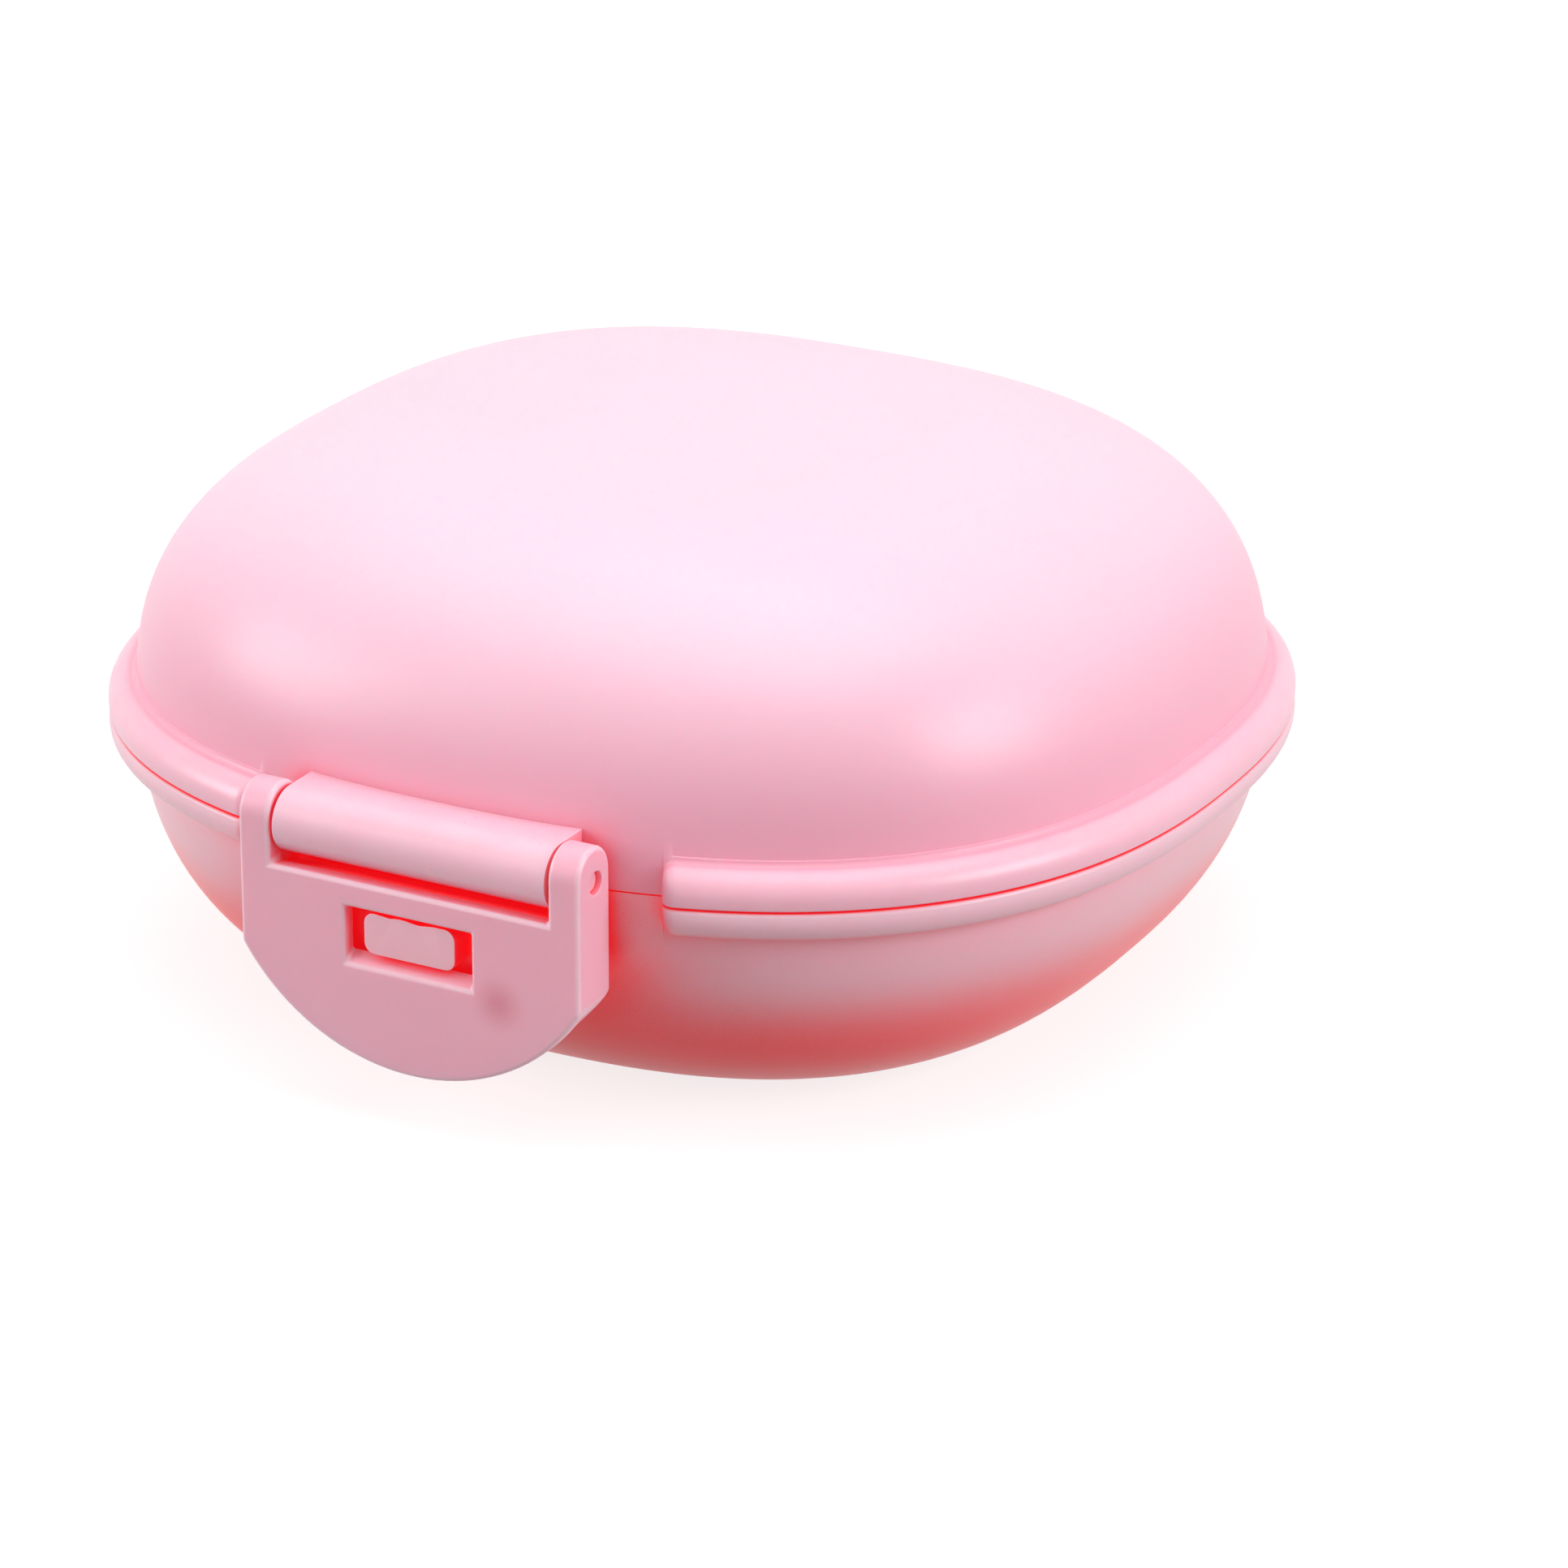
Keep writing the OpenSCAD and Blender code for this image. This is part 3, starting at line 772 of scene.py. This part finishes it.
def catch():
    """The raised pad on the bowl's front and the catch that the clip's window drops over."""
    bm = new_mesh()
    r = PAD_CORNER
    top, bottom = BASE_H - PAD_TOP, BASE_H - PAD_BOTTOM
    profile = arc(PAD_FRONT + r, top - r, r, r, 180, 90, 4)
    profile += [(-WEB_END, top), (-WEB_END + 1.0, bottom), (PAD_FRONT + PAD_CHAMFER, bottom)]
    profile += [(PAD_FRONT, bottom + PAD_CHAMFER)]
    extrude_along_x(bm, profile[::-1], -BARREL_W / 2, BARREL_W / 2, PAD_ROUND)
    high, low, half, r = BASE_H - CATCH_TOP, BASE_H - CATCH_BOTTOM, CATCH_W / 2, CATCH_CORNER
    worn_top = [
        (x, high - WORN_DEPTH * (1 - math.cos(WORN_WAVES * (x - WORN_END))))
        for x in np.linspace(WORN_START, WORN_END, 15)
    ]
    front = (
        arc(half - r, high - r, r, r, 90, 0, 5)
        + arc(half - r, low + r, r, r, 0, -90, 5)
        + arc(r - half, low + r, r, r, 270, 180, 5)
        + arc(r - half, high - r, r, r, 180, 90, 5)
        + worn_top
    )
    ring = loop_of(bm, [(x, CATCH_FRONT, z) for x, z in front])
    extrude(bm, [ring], (0, PAD_FRONT - CATCH_FRONT + CATCH_ROOT, 0), CATCH_ROUND)
    finish_piece(bm, "catch_pad", BASE_PINK, "base", "base_pink")


# The clip, the pins, the tray and the seal


def sharp_edges(bm, above=28):
    """Edges whose faces turn by more than an angle in degrees."""
    return [edge for edge in bm.edges if edge.calc_face_angle(0) > math.radians(above)]


def by_pin(edge):
    return all(math.hypot(v.co.y - PIVOT_Y, v.co.z - PIVOT_Z) < PIN_R + 0.4 for v in edge.verts)


def by_window(edge):
    """Whether an edge is on the rim of the clip's window."""
    slack = 0.05
    low, high = BASE_H - WINDOW_FOOT - slack, BASE_H - WINDOW_TOP + slack
    return all(abs(v.co.x) < WINDOW_W / 2 + slack and low < v.co.z < high for v in edge.verts)


def clip():
    """The clip's merged copy in millimetres, its corners rounded and its pin holes' rims just broken."""
    bm = new_mesh()
    bm.from_mesh(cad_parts["latch_plate"].data)
    bmesh.ops.scale(bm, vec=(1 / MM, 1 / MM, 1 / MM), verts=bm.verts)
    bmesh.ops.remove_doubles(bm, verts=bm.verts, dist=2e-3)
    bmesh.ops.dissolve_limit(
        bm, angle_limit=math.radians(1), use_dissolve_boundaries=False, verts=bm.verts, edges=bm.edges
    )
    outer = [edge for edge in sharp_edges(bm) if not (by_pin(edge) or by_window(edge))]
    bevel_edges(bm, outer, CLIP_ROUND, 4)
    bevel_edges(bm, [edge for edge in sharp_edges(bm) if by_window(edge)], WINDOW_ROUND, 3)
    bevel_edges(bm, [edge for edge in sharp_edges(bm, 57) if by_pin(edge)], BORE_ROUND, 2)
    finish_piece(bm, "clip_plate", CLIP_PINK, "latch", "clip_pink", "latch_plate")


def pin(name, length, y, z, material, body, slot, node):
    """A pin across the box with chamfered ends."""
    bm = new_mesh()
    turn = Matrix.Translation((0, y, z)) @ Matrix.Rotation(math.pi / 2, 4, "Y")
    bmesh.ops.create_cone(
        bm, cap_ends=True, segments=40, radius1=PIN_R, radius2=PIN_R, depth=length, matrix=turn
    )
    bevel_edges(bm, sharp_edges(bm, 60), PIN_CHAMFER, 2)
    finish_piece(bm, name, material, body, slot, node)


def tray_size():
    """Half width, half depth and squareness of the tray, which follows the bowl's wall inside."""
    rise = (BASE_H - TRAY_LOW) / (BASE_H - WALL)
    angle = math.radians(shoulder_angle(rise, BASE_FULLNESS))
    width = BASE_FLAT + (1 - BASE_FLAT) * math.cos(angle) ** (2 / BASE_FULLNESS)
    half_width = (WALL_W - WALL) * width - 2 * MOVING_GAP
    half_depth = (WALL_D - WALL) * width - 2 * MOVING_GAP
    return half_width, half_depth, SQUARENESS + (END_SQUARENESS - SQUARENESS) * rise


def rounded_bar(bm, x, y, z, width, length, height):
    """A moulded rib centred on x and y, with its foot at z."""
    made = bmesh.ops.create_cube(bm, size=1, matrix=Matrix.Translation((0, 0, 0.5)))["verts"]
    bmesh.ops.scale(bm, vec=(width, length, height), verts=made)
    bmesh.ops.translate(bm, vec=(x, y, z), verts=made)
    edges = {edge for vert in made for edge in vert.link_edges}
    upper = [edge for edge in edges if min(vert.co.z for vert in edge.verts) > z + height / 2]
    bevel_edges(bm, upper, RIDGE_ROUND)


def tray_foot(bm, x, y):
    """A foot that narrows towards the bowl's floor."""
    height = TRAY_LOW - WALL + OVERLAP
    bmesh.ops.create_cone(
        bm,
        cap_ends=True,
        segments=36,
        radius1=FOOT_R - FOOT_TAPER,
        radius2=FOOT_R,
        depth=height,
        matrix=Matrix.Translation((x, y, WALL + height / 2)),
    )


def drain_tray():
    """A slotted plate with ridges for the soap, on four feet."""
    half_width, half_depth, squareness = tray_size()
    bm = new_mesh()
    outline = []
    for i in range(TRAY_STEPS):
        angle = 2 * math.pi * i / TRAY_STEPS
        radius = outline_radius(angle, half_width, half_depth, squareness)
        outline.append((radius * math.cos(angle), radius * math.sin(angle), TRAY_LOW))
    rings = [loop_of(bm, outline)]
    pitch = 2 * (half_width - TRAY_EDGE) / (SLOT_COUNT + 1)

    def half_length(x):
        share = 1 - (abs(x) / (half_width - TRAY_EDGE)) ** squareness
        return (half_depth - TRAY_EDGE) * share ** (1 / squareness)

    r = SLOT_W / 2
    for i in range(SLOT_COUNT):
        x = (i - (SLOT_COUNT - 1) / 2) * pitch
        reach = half_length(x) - r
        slot = arc(x, reach, r, r, 0, 180, 10) + arc(x, -reach, r, r, 180, 360, 10)
        rings.append(loop_of(bm, [(px, py, TRAY_LOW) for px, py in slot]))
    extrude(bm, rings, (0, 0, TRAY_T), TRAY_ROUND)
    for i in range(SLOT_COUNT - 1):
        x = (i - (SLOT_COUNT - 2) / 2) * pitch
        length = 2 * half_length(x) - 2 * TRAY_EDGE
        rounded_bar(bm, x, 0, TRAY_LOW + TRAY_T - OVERLAP, RIDGE_H, length, RIDGE_H + OVERLAP)
    for x in (-2.5 * pitch, 2.5 * pitch):
        for y in (-FOOT_Y, FOOT_Y):
            tray_foot(bm, x, y)
    finish_piece(bm, "soap_tray", TRAY_PINK, "base", "tray_pink", "drain_tray")


def seal_strip():
    """The soft strip against the roof of the lid's groove."""
    out, inner = WALL_W - WALL - SEAL_GAP, WALL_W - WALL - GROOVE_W + SEAL_GAP
    low, high, r = GROOVE_H - SEAL_H, GROOVE_H, SEAL_ROUND
    section = (
        arc(out - r, low + r, r, r, 0, -90, 4)
        + arc(inner + r, low + r, r, r, 270, 180, 4)
        + [(inner, high), (out, high)]
    )
    bm = new_mesh()
    spin_shell(bm, section + section[:1], LID_H, LID_FLAT, LID_FULLNESS, True)
    finish_piece(bm, "seal_strip", SEAL_RUBBER, "lid", "seal_rubber", "seal_ring")


lid_dome()
clip_bracket()
knuckle("lid_knuckle", -KNUCKLE_W / 2, KNUCKLE_W / 2, 1, LID_PINK, "lid", "lid_pink")
bowl()
catch()
EAR_START = KNUCKLE_W / 2 + MOVING_GAP
knuckle("bowl_ear_right", EAR_START, HINGE_W / 2, -1, BASE_PINK, "base", "base_pink")
knuckle("bowl_ear_left", -HINGE_W / 2, -EAR_START, -1, BASE_PINK, "base", "base_pink")
clip()
pin("clip_pin", CLIP_W - 2 * PIN_RECESS, PIVOT_Y, PIVOT_Z, CLIP_PINK, "lid", "pin_pink", "latch_pin")
pin("rear_pin", HINGE_W - 2 * PIN_RECESS, HINGE_Y, BASE_H, PIN_STEEL, "base", "pin_steel", "hinge_pin")
drain_tray()
seal_strip()


# Floor, light and camera


def seen_directly(tree):
    """1 where the camera, or a gloss or a clear piece, looks at the surface."""
    path = tree.nodes.new("ShaderNodeLightPath")
    seen = calculate(tree, "MAXIMUM", path.outputs["Is Camera Ray"], path.outputs["Is Glossy Ray"])
    return calculate(tree, "MAXIMUM", seen, path.outputs["Is Transmission Ray"])


def pale_floor():
    bm = bmesh.new()
    bmesh.ops.create_grid(bm, x_segments=2, y_segments=2, size=4.0)
    mesh = bpy.data.meshes.new("floor")
    bm.to_mesh(mesh)
    bm.free()
    floor = bpy.data.objects.new("floor", mesh)
    bpy.context.scene.collection.objects.link(floor)
    material = bpy.data.materials.new("White floor")
    material.use_nodes = True
    tree = material.node_tree
    tree.nodes.clear()
    matt = add_node(tree, "ShaderNodeBsdfDiffuse", {"Color": FLOOR_TONE})
    strength = calculate(tree, "MULTIPLY", seen_directly(tree), FLOOR_GLOW)
    glow = add_node(tree, "ShaderNodeEmission", {"Color": WHITE, "Strength": strength})
    both = add_node(tree, "ShaderNodeAddShader", {0: matt.outputs[0], 1: glow.outputs[0]})
    out = tree.nodes.new("ShaderNodeOutputMaterial")
    tree.links.new(both.outputs[0], out.inputs["Surface"])
    mesh.materials.append(material)


def studio_world():
    world = bpy.data.worlds.new("Studio")
    bpy.context.scene.world = world
    world.use_nodes = True
    tree = world.node_tree
    tree.nodes.clear()
    strength = calculate(tree, "MULTIPLY_ADD", seen_directly(tree), 1.0 - AMBIENT, AMBIENT)
    glow = add_node(tree, "ShaderNodeBackground", {"Color": WHITE, "Strength": strength})
    out = tree.nodes.new("ShaderNodeOutputWorld")
    tree.links.new(glow.outputs[0], out.inputs["Surface"])


def softbox(name, place, target, width, height, level):
    """A rectangular lamp, in metres; level is about the brightness it gives a white surface facing it."""
    lamp = bpy.data.lights.new(name, "AREA")
    lamp.shape = "RECTANGLE"
    lamp.size, lamp.size_y = width, height
    place, target = Vector(place), Vector(target)
    lamp.energy = level * math.pi**2 * (place - target).length_squared
    light = bpy.data.objects.new(name, lamp)
    light.location = place
    light.rotation_euler = (target - place).to_track_quat("-Z", "Y").to_euler()
    bpy.context.scene.collection.objects.link(light)


def photo_camera():
    """The camera that sees the box as the photograph does."""
    azimuth, elevation = math.radians(CAMERA_AZIMUTH), math.radians(CAMERA_ELEVATION)
    target = Vector((0, 0, BASE_H * MM))
    back = Vector(
        (
            math.sin(azimuth) * math.cos(elevation),
            -math.cos(azimuth) * math.cos(elevation),
            math.sin(elevation),
        )
    )
    lens = bpy.data.cameras.new("photo view")
    lens.sensor_width = 36
    lens.lens = CAMERA_LENS
    lens.shift_x, lens.shift_y = CAMERA_SHIFT
    lens.clip_start = 0.01
    camera = bpy.data.objects.new("photo view", lens)
    camera.location = target + back * CAMERA_DISTANCE
    camera.rotation_euler = (-back).to_track_quat("-Z", "Y").to_euler()
    bpy.context.scene.collection.objects.link(camera)
    bpy.context.scene.camera = camera


pale_floor()
studio_world()
softbox("top light", (0.0, -0.02, 0.75), (0, 0, 0.03), 0.8, 0.7, 0.58)
softbox("left light", (-0.7, -0.48, 0.34), (0, 0, 0.02), 0.45, 0.4, 0.5)
softbox("right light", (0.8, 0.0, 0.4), (0, 0, 0.02), 0.5, 0.4, 0.56)
photo_camera()

bpy.context.scene.view_settings.view_transform = "Standard"
